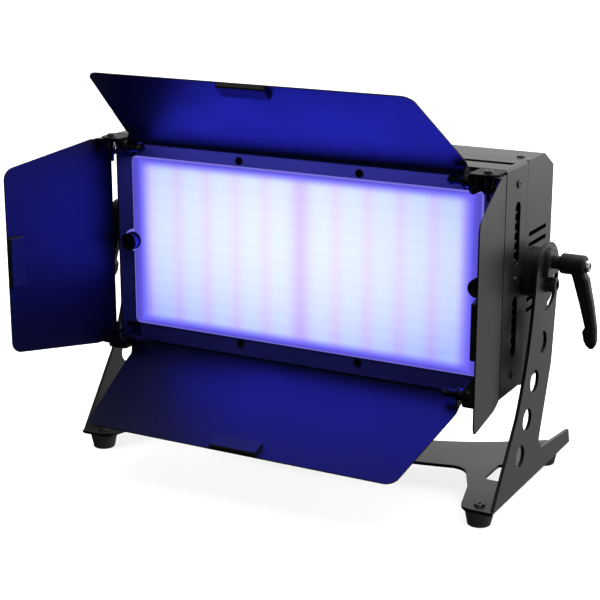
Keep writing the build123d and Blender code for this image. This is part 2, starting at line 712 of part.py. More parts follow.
with BuildPart() as fan_rotor:
    with BuildSketch(facing_front(INNER_BACK - 1.5)):
        Circle(HUB_R)
    extrude(amount=FAN_T - 5.5)
    fillet(fan_rotor.faces().sort_by(Axis.Y)[-1].edges(), 2)
    for blade in range(BLADES):
        angle = radians(360 * blade / BLADES)
        outwards = Vector(cos(angle), 0, sin(angle))
        chord = Vector(-cos(pitch) * sin(angle), sin(pitch), cos(pitch) * cos(angle))
        root = Vector(0, FACE_Y + INNER_BACK - 12, AXIS_Z) + outwards * (HUB_R - 1.5)
        with BuildSketch(Plane(origin=root, x_dir=chord, z_dir=outwards)):
            Rectangle(19, 1.4)
        extrude(amount=ROTOR_R - HUB_R)
    with BuildSketch(facing_front(INNER_BACK - 5)):
        Circle(1.5 + FIT)
    extrude(amount=20, mode=Mode.SUBTRACT)
save(fan_rotor, "fan_rotor")

# wire guard: rings joined by two straight wires
with BuildPart() as fan_guard:
    for radius in (8, 15, 22, 29, 36, 41):
        with BuildSketch(facing_right(0, HOUSING_D + 1.7, 0)):
            with Locations((0, radius)):
                Circle(1.0)
        revolve(axis=Axis((0, FACE_Y + HOUSING_D, AXIS_Z), (0, 1, 0)))
    with BuildSketch(facing_back(HOUSING_D + 0.5)):
        with Locations(Location((0, 0, 0), (0, 0, 1), 45), Location((0, 0, 0), (0, 0, 1), -45)):
            Rectangle(2 * FAN_SCREW * 2**0.5 - 6, 2)
        with GridLocations(2 * FAN_SCREW, 2 * FAN_SCREW, 2, 2):
            Circle(4.2)
    extrude(amount=1.4)
    with BuildSketch(facing_back(HOUSING_D)):
        with GridLocations(2 * FAN_SCREW, 2 * FAN_SCREW, 2, 2):
            Circle(4.2)
    extrude(amount=0.5)
    with BuildSketch(facing_back(HOUSING_D)):
        with GridLocations(2 * FAN_SCREW, 2 * FAN_SCREW, 2, 2):
            Circle(SCREW_R)
    extrude(amount=4, mode=Mode.SUBTRACT)
save(fan_guard, "fan_guard")

# ---- screws that hold the housing, the frame and the fan -----------------------------------
screw_planes = [facing_right(HALF_W, VENT_Y, z) for z in SIDE_SCREW_Z]
screw_planes += [facing_left(-HALF_W, VENT_Y, z) for z in SIDE_SCREW_Z]
screw_planes += [facing_up(HALF_H, side * COVER_SCREW[0], COVER_SCREW[1]) for side in (-1, 1)]
screw_planes += [facing_down(-HALF_H, side * COVER_SCREW[0], COVER_SCREW[1]) for side in (-1, 1)]
screw_planes += [facing_front(-FRAME_T, side * x, z) for side in (-1, 1) for x, z in FRAME_SCREWS]
housing_screws = cross_screws(screw_planes, 3.8, 1.2, SCREW_R, 7)
save(housing_screws, "housing_screws")

fan_corners = [(sx * FAN_SCREW, sz * FAN_SCREW) for sx in (-1, 1) for sz in (-1, 1)]
fan_screw_planes = [facing_back(HOUSING_D + 1.9, x, z) for x, z in fan_corners]
fan_screws = cross_screws(fan_screw_planes, 3.8, 1.6, SCREW_R, 24)
save(fan_screws, "fan_screws")

# ---- tilt joint: boss, bolt, stud and washers on each side ---------------------------------
BOLT_HEAD_R = 6.5
BOLT_HEAD_H = 7.6
BOLT_WASHER_T = 1.0
BOLT_WASHER_R = 7.2
CLAMP_WASHER_R = 12.6    # round above the stud ...
CLAMP_WASHER_LOW = 12.0  # ... and cut square this far below it
CLAMP_WASHER_T = 4.4
INSERT_T = 4.0
STUD_END = 236.0
WASHER_IN = YOKE_HALF + FACE_GAP
BOLT_SEAT = WASHER_IN + BOLT_WASHER_T
CLAMP_SEAT = WASHER_IN + CLAMP_WASHER_T
pivot_holes = [(PIVOT_Y, PIVOT_Z), (PIVOT_Y, CLAMP_Z)]

with BuildPart() as pivot_bosses:
    with BuildSketch(facing_right(HALF_W)):
        with Locations((PIVOT_Y, 0)):
            Circle(BOSS_R)
        with Locations(*pivot_holes):
            Circle(STUD_R, mode=Mode.SUBTRACT)
    extrude(amount=ARM_IN - FACE_GAP - HALF_W)
    chamfer(pivot_bosses.faces().sort_by(Axis.X)[-1].outer_wire().edges(), 1)
    mirror(about=Plane.YZ)
save(pivot_bosses, "pivot_bosses")

with BuildPart() as pivot_inserts:
    with BuildSketch(facing_right(HALF_W - WALL)):
        with Locations((PIVOT_Y + 4, 0)):
            RectangleRounded(38, 42, 4)
        with Locations(*pivot_holes):
            Circle(STUD_R, mode=Mode.SUBTRACT)
    extrude(amount=-INSERT_T)
    mirror(about=Plane.YZ)
save(pivot_inserts, "pivot_inserts")

with BuildPart() as pivot_bolts:
    with BuildSketch(facing_right(BOLT_SEAT, PIVOT_Y, PIVOT_Z)):
        Circle(BOLT_HEAD_R)
    extrude(amount=BOLT_HEAD_H)
    chamfer(pivot_bolts.faces().sort_by(Axis.X)[-1].edges(), 0.8)
    with BuildSketch(facing_right(BOLT_SEAT + BOLT_HEAD_H, PIVOT_Y, PIVOT_Z)):
        RegularPolygon(3.3, 6, major_radius=False)
    extrude(amount=-4.5, mode=Mode.SUBTRACT)
    with BuildSketch(facing_right(BOLT_SEAT, PIVOT_Y, PIVOT_Z)):
        Circle(STUD_R)
    extrude(amount=HALF_W - WALL - INSERT_T - BOLT_SEAT)
    mirror(about=Plane.YZ)
save(pivot_bolts, "pivot_bolts")

with BuildPart() as pivot_washers:
    with BuildSketch(facing_right(WASHER_IN, PIVOT_Y, PIVOT_Z)):
        Circle(BOLT_WASHER_R)
        Circle(STUD_R, mode=Mode.SUBTRACT)
    extrude(amount=BOLT_WASHER_T)
    mirror(about=Plane.YZ)
save(pivot_washers, "pivot_washers")

# the clamp washer is cut square underneath, so that the bolt head keeps it from turning
with BuildPart() as clamp_washers:
    with BuildSketch(facing_right(WASHER_IN, PIVOT_Y, CLAMP_Z)):
        Circle(CLAMP_WASHER_R)
        with Locations((0, -CLAMP_WASHER_LOW / 2)):
            Rectangle(2 * CLAMP_WASHER_R, CLAMP_WASHER_LOW)
        with Locations((0, -CLAMP_WASHER_LOW - CLAMP_WASHER_R)):
            Rectangle(4 * CLAMP_WASHER_R, 2 * CLAMP_WASHER_R, mode=Mode.SUBTRACT)
        Circle(STUD_R, mode=Mode.SUBTRACT)
    extrude(amount=CLAMP_WASHER_T)
    chamfer(clamp_washers.faces().sort_by(Axis.X)[-1].outer_wire().edges(), 0.5)
    mirror(about=Plane.YZ)
save(clamp_washers, "clamp_washers")

with BuildPart() as clamp_studs:
    with BuildSketch(facing_right(STUD_END, PIVOT_Y, CLAMP_Z)):
        Circle(STUD_R)
    extrude(amount=HALF_W - WALL - INSERT_T - STUD_END)
    chamfer(clamp_studs.faces().sort_by(Axis.X)[-1].edges(), 0.6)
    mirror(about=Plane.YZ)
save(clamp_studs, "clamp_studs")

# ---- clamp levers --------------------------------------------------------------------------
NECK_R = 5.8
HUB_IN = 221.5
HUB_OUT = 244.0
LEVER_HUB_R = 9.0
BUTTON_HEAD_R = 5.4
SCREW_SEAT = 2.0         # depth of the hub's recess for the screw
# Arm from the stud's axis to the tip: distance down, inner and outer face measured outwards
# from the hub's outer end, and width.  A small step marks the start of the grip.
LEVER_SECTIONS = [
    (2.0, -13.0, -0.4, 15.0),
    (7.2, -12.0, -0.2, 13.0),
    (11.0, -11.0, 3.0, 11.2),
    (34.0, -3.8, 8.4, 9.6),
    (54.0, 1.8, 12.0, 9.0),
    (58.0, -0.2, 12.2, 10.0),
    (66.0, 1.4, 12.4, 9.6),
    (70.0, 3.4, 11.6, 8.0),
    (72.8, 6.4, 9.8, 5.0),
]

for name, side in (("right", 1), ("left", -1)):
    facing_out = facing_right if side > 0 else facing_left
    lever_in = side * (CLAMP_SEAT + FACE_GAP)
    with BuildPart() as clamp_lever:
        with BuildSketch(facing_out(lever_in, PIVOT_Y, CLAMP_Z)):
            Circle(NECK_R)
        extrude(amount=HUB_IN - CLAMP_SEAT)
        with BuildSketch(facing_out(side * HUB_IN, PIVOT_Y, CLAMP_Z)):
            Circle(LEVER_HUB_R)
        extrude(amount=HUB_OUT - HUB_IN)
        hub_rims = clamp_lever.edges().filter_by(GeomType.CIRCLE)
        chamfer(hub_rims.filter_by(lambda e: abs(e.radius - LEVER_HUB_R) < 0.01), 1.5)
        # arm: a tapered bar that leans outwards and ends in a rounded grip
        for down, inner, outer, wide in LEVER_SECTIONS:
            middle = side * (HUB_OUT + (inner + outer) / 2)
            thick = outer - inner
            with BuildSketch(facing_up(CLAMP_Z - down, middle, PIVOT_Y)):
                RectangleRounded(thick, wide, min(thick, wide) * 0.28)
        loft(ruled=True)
        with BuildSketch(facing_out(lever_in, PIVOT_Y, CLAMP_Z)):
            Circle(STUD_R + FIT)
        extrude(amount=STUD_END + GAP - CLAMP_SEAT, mode=Mode.SUBTRACT)
        with BuildSketch(facing_out(side * HUB_OUT, PIVOT_Y, CLAMP_Z)):
            Circle(BUTTON_HEAD_R + 0.8)
        extrude(amount=-SCREW_SEAT, mode=Mode.SUBTRACT)
    save(clamp_lever, "clamp_lever_" + name)

    with BuildPart() as lever_screw:
        with BuildSketch(facing_out(side * (HUB_OUT - SCREW_SEAT), PIVOT_Y, CLAMP_Z)):
            Circle(BUTTON_HEAD_R)
        extrude(amount=5.5)
        fillet(lever_screw.faces().sort_by(Axis.X)[-1 if side > 0 else 0].edges(), 2)
        with BuildSketch(facing_out(side * (HUB_OUT + 3.5), PIVOT_Y, CLAMP_Z)):
            RegularPolygon(2.2, 6, major_radius=False)
        extrude(amount=-3, mode=Mode.SUBTRACT)
    save(lever_screw, "lever_screw_" + name)

# ---- rear panel: connectors, fuse, display, buttons ----------------------------------------
FLANGE_T = 2.0
SOCKET_DEPTH = 22.0
BUTTON_BOARD_Y = HOUSING_D - 9.5
LATCH_Z = 12.2           # release tab of the output socket, above the socket's middle
LATCH_W = 6.6
LATCH_H = 3.4
LATCH_TRAVEL = 1.2

for name, centre, male in (("power_inlet", AC_IN, True), ("power_outlet", AC_OUT, False)):
    with BuildPart() as socket:
        with BuildSketch(facing_back(HOUSING_D, *centre)):
            RectangleRounded(AC_W + 5, AC_H + 5, 3)
        extrude(amount=FLANGE_T)
        with BuildSketch(facing_back(HOUSING_D, *centre)):
            Rectangle(AC_W - 0.4, AC_H - 0.4)
        extrude(amount=-SOCKET_DEPTH)
        with BuildSketch(facing_back(HOUSING_D + FLANGE_T, *centre)):
            RectangleRounded(24.0, 16.2, 3)
            if not male:
                RectangleRounded(20.4, 12.6, 2, mode=Mode.SUBTRACT)
        extrude(amount=-16, mode=Mode.SUBTRACT)
        if not male:
            with BuildSketch(facing_back(HOUSING_D + FLANGE_T, *centre)):
                with Locations((-6.5, -1.5), (6.5, -1.5), (0, 2.5)):
                    Rectangle(2.6, 4.8)
            extrude(amount=-14, mode=Mode.SUBTRACT)
    save(socket, name)

for name, centre, male in (("dmx_in", DMX_IN, True), ("dmx_out", DMX_OUT, False)):
    with BuildPart() as socket:
        with BuildSketch(facing_back(HOUSING_D, *centre)):
            RectangleRounded(26, 31, 2.5)
            with Locations((-9.5, 12), (9.5, -12)):
                Circle(1.6, mode=Mode.SUBTRACT)
        extrude(amount=FLANGE_T)
        with BuildSketch(facing_back(HOUSING_D, *centre)):
            Circle(DMX_R - 0.2)
        extrude(amount=-SOCKET_DEPTH)
        with BuildSketch(facing_back(HOUSING_D + FLANGE_T, *centre)):
            Circle(9.6)
            if not male:
                Circle(7.6, mode=Mode.SUBTRACT)
        extrude(amount=-16, mode=Mode.SUBTRACT)
        if not male:
            with BuildSketch(facing_back(HOUSING_D + FLANGE_T, *centre)):
                with PolarLocations(4.0, 3, start_angle=30):
                    Circle(1.4)
            extrude(amount=-14, mode=Mode.SUBTRACT)
            # window for the release tab
            with BuildSketch(facing_back(HOUSING_D + FLANGE_T, centre[0], centre[1] + LATCH_Z)):
                Rectangle(LATCH_W, LATCH_H)
            extrude(amount=-FLANGE_T, mode=Mode.SUBTRACT)
    save(socket, name)

with BuildPart() as connector_pins:
    with BuildSketch(facing_back(HOUSING_D - 14, *AC_IN)):
        with Locations((-6.5, -1.5), (6.5, -1.5), (0, 2.5)):
            Rectangle(2, 4)
    extrude(amount=12)
    with BuildSketch(facing_back(HOUSING_D - 14, *DMX_IN)):
        with PolarLocations(4.0, 3, start_angle=30):
            Circle(1.2)
    extrude(amount=12)
save(connector_pins, "connector_pins")

with BuildPart() as dmx_latch:
    with BuildSketch(facing_back(HOUSING_D + LATCH_TRAVEL + FACE_GAP, DMX_OUT[0], DMX_OUT[1] + LATCH_Z)):
        RectangleRounded(LATCH_W - 2 * GAP, LATCH_H - 2 * GAP, 0.6)
    extrude(amount=2.0)
save(dmx_latch, "dmx_latch")

with BuildPart() as fuse_holder:
    with BuildSketch(facing_back(HOUSING_D, *FUSE)):
        Circle(9.5)
    extrude(amount=2)
    with BuildSketch(facing_back(HOUSING_D, *FUSE)):
        Circle(FUSE_R - 0.2)
    extrude(amount=-20)
    with BuildSketch(facing_back(HOUSING_D + 2, *FUSE)):
        Circle(4.0)
    extrude(amount=-16, mode=Mode.SUBTRACT)
save(fuse_holder, "fuse_holder")

with BuildPart() as fuse_cap:
    with BuildSketch(facing_back(HOUSING_D + 2 + FACE_GAP, *FUSE)):
        Circle(7.2)
    extrude(amount=7)
    chamfer(fuse_cap.faces().sort_by(Axis.Y)[-1].edges(), 0.8)
    with BuildSketch(facing_back(HOUSING_D + 2 + FACE_GAP, *FUSE)):
        Circle(4.0 - FIT)
    extrude(amount=-12)
    with BuildSketch(facing_back(HOUSING_D + 9 + FACE_GAP, *FUSE)):
        Rectangle(9, 1.6)
    extrude(amount=-1.5, mode=Mode.SUBTRACT)
save(fuse_cap, "fuse_cap")

with BuildPart() as display_window:
    with BuildSketch(facing_back(HOUSING_D - WALL - 3, *DISPLAY)):
        RectangleRounded(DISPLAY_W + 6, DISPLAY_H + 6, 2)
    extrude(amount=3)
    with BuildSketch(facing_back(HOUSING_D - WALL, *DISPLAY)):
        RectangleRounded(DISPLAY_W - 0.4, DISPLAY_H - 0.4, 1.4)
    extrude(amount=WALL - 0.4)
save(display_window, "display_window")

with BuildPart() as button_board:
    with BuildSketch(facing_back(BUTTON_BOARD_Y, DISPLAY[0], 27)):
        Rectangle(70, 56)
    extrude(amount=-1.6)
    with BuildSketch(facing_back(BUTTON_BOARD_Y, *DISPLAY)):
        Rectangle(60, 24)
    extrude(amount=4)
    with BuildSketch(facing_back(BUTTON_BOARD_Y)):
        with Locations(*[(-x, BUTTON_Z) for x in BUTTONS.values()]):
            Rectangle(6, 6)
    extrude(amount=3)
save(button_board, "button_board")

for name, x in BUTTONS.items():
    with BuildPart() as button:
        with BuildSketch(facing_back(HOUSING_D - WALL - 1.4, x, BUTTON_Z)):
            Circle(BUTTON_R + 1.2)
        extrude(amount=1.2)
        with BuildSketch(facing_back(HOUSING_D - WALL - 1.4, x, BUTTON_Z)):
            Circle(BUTTON_R)
        extrude(amount=WALL + 3.2)
        fillet(button.faces().sort_by(Axis.Y)[-1].edges(), 0.8)
        with BuildSketch(facing_back(HOUSING_D - WALL - 1.4, x, BUTTON_Z)):
            Circle(2)
        extrude(amount=-1.6)
    save(button, "button_" + name)

# ---- safety eye: a bent rod with both ends welded to a small plate -------------------------
EYE_Z = 64.0
EYE_HALF = 11.0
EYE_ROD_R = 2.5
with BuildPart() as safety_eye:
    with BuildSketch(facing_back(HOUSING_D, 0, EYE_Z)):
        RectangleRounded(40, 14, 3)
    extrude(amount=2)
    with BuildLine(facing_up(EYE_Z)):
        FilletPolyline(
            (-EYE_HALF, HOUSING_D + 1),
            (-EYE_HALF, HOUSING_D + 20),
            (EYE_HALF, HOUSING_D + 20),
            (EYE_HALF, HOUSING_D + 1),
            radius=8,
        )
    with BuildSketch(facing_back(HOUSING_D + 1, -EYE_HALF, EYE_Z)):
        Circle(EYE_ROD_R)
    sweep()
save(safety_eye, "safety_eye")
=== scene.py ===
import json
from math import cos, e, pi, radians, sin

import bmesh
import bpy
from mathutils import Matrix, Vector


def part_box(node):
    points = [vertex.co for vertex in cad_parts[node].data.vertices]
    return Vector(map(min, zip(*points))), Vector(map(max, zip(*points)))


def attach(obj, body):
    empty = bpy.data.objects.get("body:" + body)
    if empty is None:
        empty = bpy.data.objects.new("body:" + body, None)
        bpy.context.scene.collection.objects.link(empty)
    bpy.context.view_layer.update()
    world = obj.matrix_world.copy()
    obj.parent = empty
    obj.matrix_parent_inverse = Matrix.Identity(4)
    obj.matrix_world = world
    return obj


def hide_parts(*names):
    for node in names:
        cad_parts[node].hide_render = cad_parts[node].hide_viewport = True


# LED panel light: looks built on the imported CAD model.  Metres, +Z up, the lit window faces -Y.
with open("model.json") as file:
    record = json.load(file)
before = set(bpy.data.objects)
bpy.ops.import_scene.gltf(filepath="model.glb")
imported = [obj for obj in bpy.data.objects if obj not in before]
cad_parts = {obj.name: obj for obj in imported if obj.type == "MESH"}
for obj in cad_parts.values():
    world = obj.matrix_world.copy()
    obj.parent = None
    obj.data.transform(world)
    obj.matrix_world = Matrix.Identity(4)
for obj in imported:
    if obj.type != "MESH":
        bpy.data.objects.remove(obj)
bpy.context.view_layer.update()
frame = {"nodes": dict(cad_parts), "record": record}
nodes = frame["nodes"]
MM = 0.001


# ---- camera --------------------------------------------------------------------------------
def make_camera(location, azimuth, elevation, lens):
    """Camera at a point, looking along an azimuth and down by an elevation, in degrees."""
    turn, drop = radians(azimuth), radians(elevation)
    forward = Vector((-sin(turn) * cos(drop), cos(turn) * cos(drop), -sin(drop)))
    camera = bpy.data.objects.new("camera", bpy.data.cameras.new("camera"))
    camera.data.lens = lens
    camera.data.sensor_width = 36
    camera.data.clip_start = 0.05
    camera.data.clip_end = 60
    camera.location = location
    camera.rotation_euler = forward.to_track_quat("-Z", "Y").to_euler()
    bpy.context.scene.collection.objects.link(camera)
    bpy.context.scene.camera = camera


make_camera(location=(0.64375, -1.1979, 0.54504), azimuth=28.38, elevation=15.78, lens=93.78)
bpy.context.scene.view_settings.view_transform = "Standard"


# ---- node graph helpers --------------------------------------------------------------------
class Graph:
    """A new material's node tree, with short calls for the nodes used here."""

    def __init__(self, name):
        self.material = bpy.data.materials.new(name)
        self.material.use_nodes = True
        self.tree = self.material.node_tree
        self.tree.nodes.clear()
        self.shader = self.tree.nodes.new("ShaderNodeBsdfPrincipled")
        output = self.tree.nodes.new("ShaderNodeOutputMaterial")
        self.tree.links.new(self.shader.outputs[0], output.inputs["Surface"])
        self.place = self.tree.nodes.new("ShaderNodeTexCoord").outputs["Object"]

    def put(self, socket, value):
        """Links a socket to a socket, or sets it to a value."""
        if isinstance(value, bpy.types.NodeSocket):
            self.tree.links.new(value, socket)
        elif hasattr(value, "__len__") and len(value) == 3 and socket.type == "RGBA":
            socket.default_value = (*value, 1)
        else:
            socket.default_value = value

    def node(self, kind, inputs=None, **settings):
        made = self.tree.nodes.new("ShaderNode" + kind)
        for key, value in settings.items():
            setattr(made, key, value)
        for key, value in (inputs or {}).items():
            self.put(made.inputs[key], value)
        return made

    def math(self, operation, a, b=0.0, clamp=False):
        return self.node("Math", {0: a, 1: b}, operation=operation, use_clamp=clamp).outputs[0]

    def add(self, a, b, clamp=False):
        return self.math("ADD", a, b, clamp)

    def subtract(self, a, b):
        return self.math("SUBTRACT", a, b)

    def multiply(self, a, b):
        return self.math("MULTIPLY", a, b)

    def absolute(self, a):
        return self.math("ABSOLUTE", a)

    def noise(self, scale, detail=2.0, roughness=0.5, stretch=None):
        place = self.place
        if stretch:
            place = self.node("Mapping", {"Vector": place, "Scale": stretch}).outputs[0]
        inputs = {"Vector": place, "Scale": scale, "Detail": detail, "Roughness": roughness}
        return self.node("TexNoise", inputs).outputs[0]

    def remap(self, value, low, high, to_low, to_high, kind="LINEAR"):
        inputs = {"Value": value, "From Min": low, "From Max": high, "To Min": to_low, "To Max": to_high}
        return self.node("MapRange", inputs, interpolation_type=kind).outputs[0]

    def share(self, value):
        """Spreads the middle of a noise over 0 to 1."""
        return self.remap(value, 0.3, 0.7, 0.0, 1.0)

    def around(self, value, low, high):
        """Spreads the middle of a noise over low to high."""
        return self.remap(value, 0.3, 0.7, low, high)

    def mix(self, factor, a, b):
        """Colour between a and b."""
        made = self.node("Mix", data_type="RGBA")
        self.put(made.inputs[0], factor)
        self.put(made.inputs[6], a)
        self.put(made.inputs[7], b)
        return made.outputs[2]

    def bevel(self, radius):
        return self.node("Bevel", {"Radius": radius}, samples=4).outputs[0]

    def edges(self, rounded, low, high):
        """0 on flat faces, rising to 1 on the edges that the bevel node rounds."""
        flat = self.node("NewGeometry").outputs["Normal"]
        dot = self.node("VectorMath", {0: rounded, 1: flat}, operation="DOT_PRODUCT").outputs["Value"]
        return self.remap(dot, high, low, 0.0, 1.0)

    def bump(self, height, depth, normal=None):
        inputs = {"Height": height, "Distance": depth}
        if normal:
            inputs["Normal"] = normal
        return self.node("Bump", inputs).outputs[0]

    def surface(self, **values):
        names = {"colour": "Base Color", "metal": "Metallic", "rough": "Roughness", "normal": "Normal",
                 "gloss": "Specular IOR Level", "coat": "Coat Weight",
                 "glow": "Emission Color", "glow_strength": "Emission Strength"}
        for key, value in values.items():
            self.put(self.shader.inputs[names[key]], value)
        return self.material


def scaled(colour, factor):
    return tuple(channel * factor for channel in colour)


# ---- materials -----------------------------------------------------------------------------
def powder_coat(name, colour, rough, shine, worn_and_highlit=(0.07, 0.07, 0.072), radius=0.5 * MM):
    """Sprayed powder coat: fine orange peel, cloudy gloss, and lighter on the edges, partly worn thin and
    partly a painted highlight.
    """
    g = Graph(name)
    cloud = g.noise(14.0, 4.0, 0.6)
    peel = g.noise(1100.0, 2.0, 0.45)
    grit = g.noise(4200.0, 1.0, 0.5)
    rounded = g.bevel(radius)
    edge = g.edges(rounded, 0.72, 0.985)
    # lighter edge colour in patches: partly wear, partly a painted highlight on the rounded edges
    wear_and_highlight_mask = g.multiply(edge, g.remap(g.noise(90.0, 3.0), 0.35, 0.7, 0.25, 0.9))
    body = g.mix(g.share(cloud), scaled(colour, 0.88), scaled(colour, 1.14))
    speck = g.mix(g.remap(grit, 0.55, 0.75, 0.0, 0.35), body, scaled(colour, 1.7))
    height = g.add(g.multiply(peel, 0.8), g.multiply(grit, 0.2))
    gloss = g.add(g.around(cloud, rough - 0.035, rough + 0.045), g.around(peel, -0.02, 0.03))
    return g.surface(
        colour=g.mix(wear_and_highlight_mask, speck, worn_and_highlit),
        rough=gloss,
        gloss=shine,
        normal=g.bump(height, 0.05 * MM, rounded),
    )


def metal(name, colour, rough, brushed=(1.0, 1.0, 1.0), radius=0.25 * MM, metallic=1.0):
    """Plated or machined steel with fine tool marks."""
    g = Graph(name)
    marks = g.noise(2600.0, 3.0, 0.6, brushed)
    cloud = g.noise(160.0, 3.0, 0.6)
    rounded = g.bevel(radius)
    edge = g.edges(rounded, 0.7, 0.98)
    body = g.mix(g.share(cloud), scaled(colour, 0.82), scaled(colour, 1.12))
    # painted highlight: the colour lightens along the rounded edges
    bright = g.mix(g.multiply(edge, 0.5), body, scaled(colour, 1.8))
    return g.surface(
        colour=bright,
        metal=metallic,
        rough=g.around(marks, rough - 0.07, rough + 0.09),
        normal=g.bump(marks, 0.012 * MM, rounded),
    )


def moulded(name, colour, rough, texture=0.03 * MM, scale=1500.0, radius=0.35 * MM):
    """Moulded plastic or rubber with a fine spark-eroded texture."""
    g = Graph(name)
    grain = g.noise(scale, 3.0, 0.6)
    cloud = g.noise(60.0, 3.0, 0.5)
    rounded = g.bevel(radius)
    edge = g.edges(rounded, 0.72, 0.985)
    body = g.mix(g.share(cloud), scaled(colour, 0.85), scaled(colour, 1.2))
    # painted highlight: the colour lightens along the rounded edges
    return g.surface(
        colour=g.mix(g.multiply(edge, 0.4), body, scaled(colour, 1.9)),
        rough=g.around(grain, rough - 0.06, rough + 0.06),
        normal=g.bump(grain, texture, rounded),
    )


def circuit_board(name):
    """Green board: traces and pads under solder resist."""
    g = Graph(name)
    cells = g.node("TexVoronoi", {"Vector": g.place, "Scale": 240.0}, distance="CHEBYCHEV")
    tracks = g.node("TexBrick", {"Vector": g.place, "Scale": 90.0, "Mortar Size": 0.05}).outputs["Fac"]
    copper = g.mix(tracks, (0.012, 0.075, 0.03), (0.03, 0.13, 0.05))
    pads = g.remap(cells.outputs["Distance"], 0.1, 0.16, 1.0, 0.0)
    return g.surface(
        colour=g.mix(g.multiply(pads, 0.8), copper, (0.6, 0.56, 0.42)),
        rough=g.around(g.noise(500.0), 0.3, 0.42),
        normal=g.bump(tracks, 0.04 * MM),
    )


def chip_face(name):
    """LED package: white reflector with a yellow phosphor dome."""
    g = Graph(name)
    cells = g.node("TexVoronoi", {"Vector": g.place, "Scale": 150.0}).outputs["Distance"]
    tint = g.mix(g.remap(cells, 0.0, 0.5, 1.0, 0.0), (0.75, 0.74, 0.7), (0.85, 0.68, 0.2))
    return g.surface(colour=tint, rough=g.around(g.noise(900.0), 0.3, 0.4))


ALONG_FINS = (0.02, 1.0, 1.0)

# slot: maker, colour, roughness and what else the maker takes
FINISHES = {
    "housing_coat": (powder_coat, (0.012, 0.012, 0.0125), 0.33, {"shine": 0.30}),
    "door_coat": (powder_coat, (0.014, 0.014, 0.0145), 0.41, {"shine": 0.15}),
    "frame_coat": (powder_coat, (0.012, 0.012, 0.013), 0.46, {"shine": 0.09}),
    "yoke_coat": (powder_coat, (0.017, 0.017, 0.0175), 0.38, {"shine": 0.42}),
    # the lever's lighter edge colour is partly wear, partly a painted highlight
    "lever_coat": (powder_coat, (0.007, 0.007, 0.0075), 0.42, {"shine": 0.22, "worn_and_highlit": (0.03, 0.03, 0.031)}),
    "black_steel": (metal, (0.035, 0.035, 0.038), 0.34, {"metallic": 0.6}),
    "bright_steel": (metal, (0.55, 0.55, 0.56), 0.28, {}),
    "rubber": (moulded, (0.032, 0.032, 0.033), 0.62, {"texture": 0.05 * MM, "scale": 1300.0}),
    "knob_plastic": (moulded, (0.014, 0.014, 0.015), 0.45, {}),
    "socket_plastic": (moulded, (0.016, 0.016, 0.017), 0.40, {}),
    "fan_plastic": (moulded, (0.018, 0.018, 0.019), 0.38, {}),
    "door_pad": (moulded, (0.006, 0.006, 0.0063), 0.7, {"texture": 0.08 * MM, "scale": 900.0}),
    "black_anodised": (metal, (0.11, 0.11, 0.112), 0.42, {"brushed": ALONG_FINS, "metallic": 0.8}),
    "aluminium": (metal, (0.62, 0.63, 0.65), 0.36, {"brushed": ALONG_FINS}),
    "brass": (metal, (0.62, 0.43, 0.17), 0.30, {}),
}
materials = {
    slot: maker(slot, colour, rough, **rest) for slot, (maker, colour, rough, rest) in FINISHES.items()
}
materials["circuit_board"] = circuit_board("circuit_board")
materials["led_package"] = chip_face("led_package")


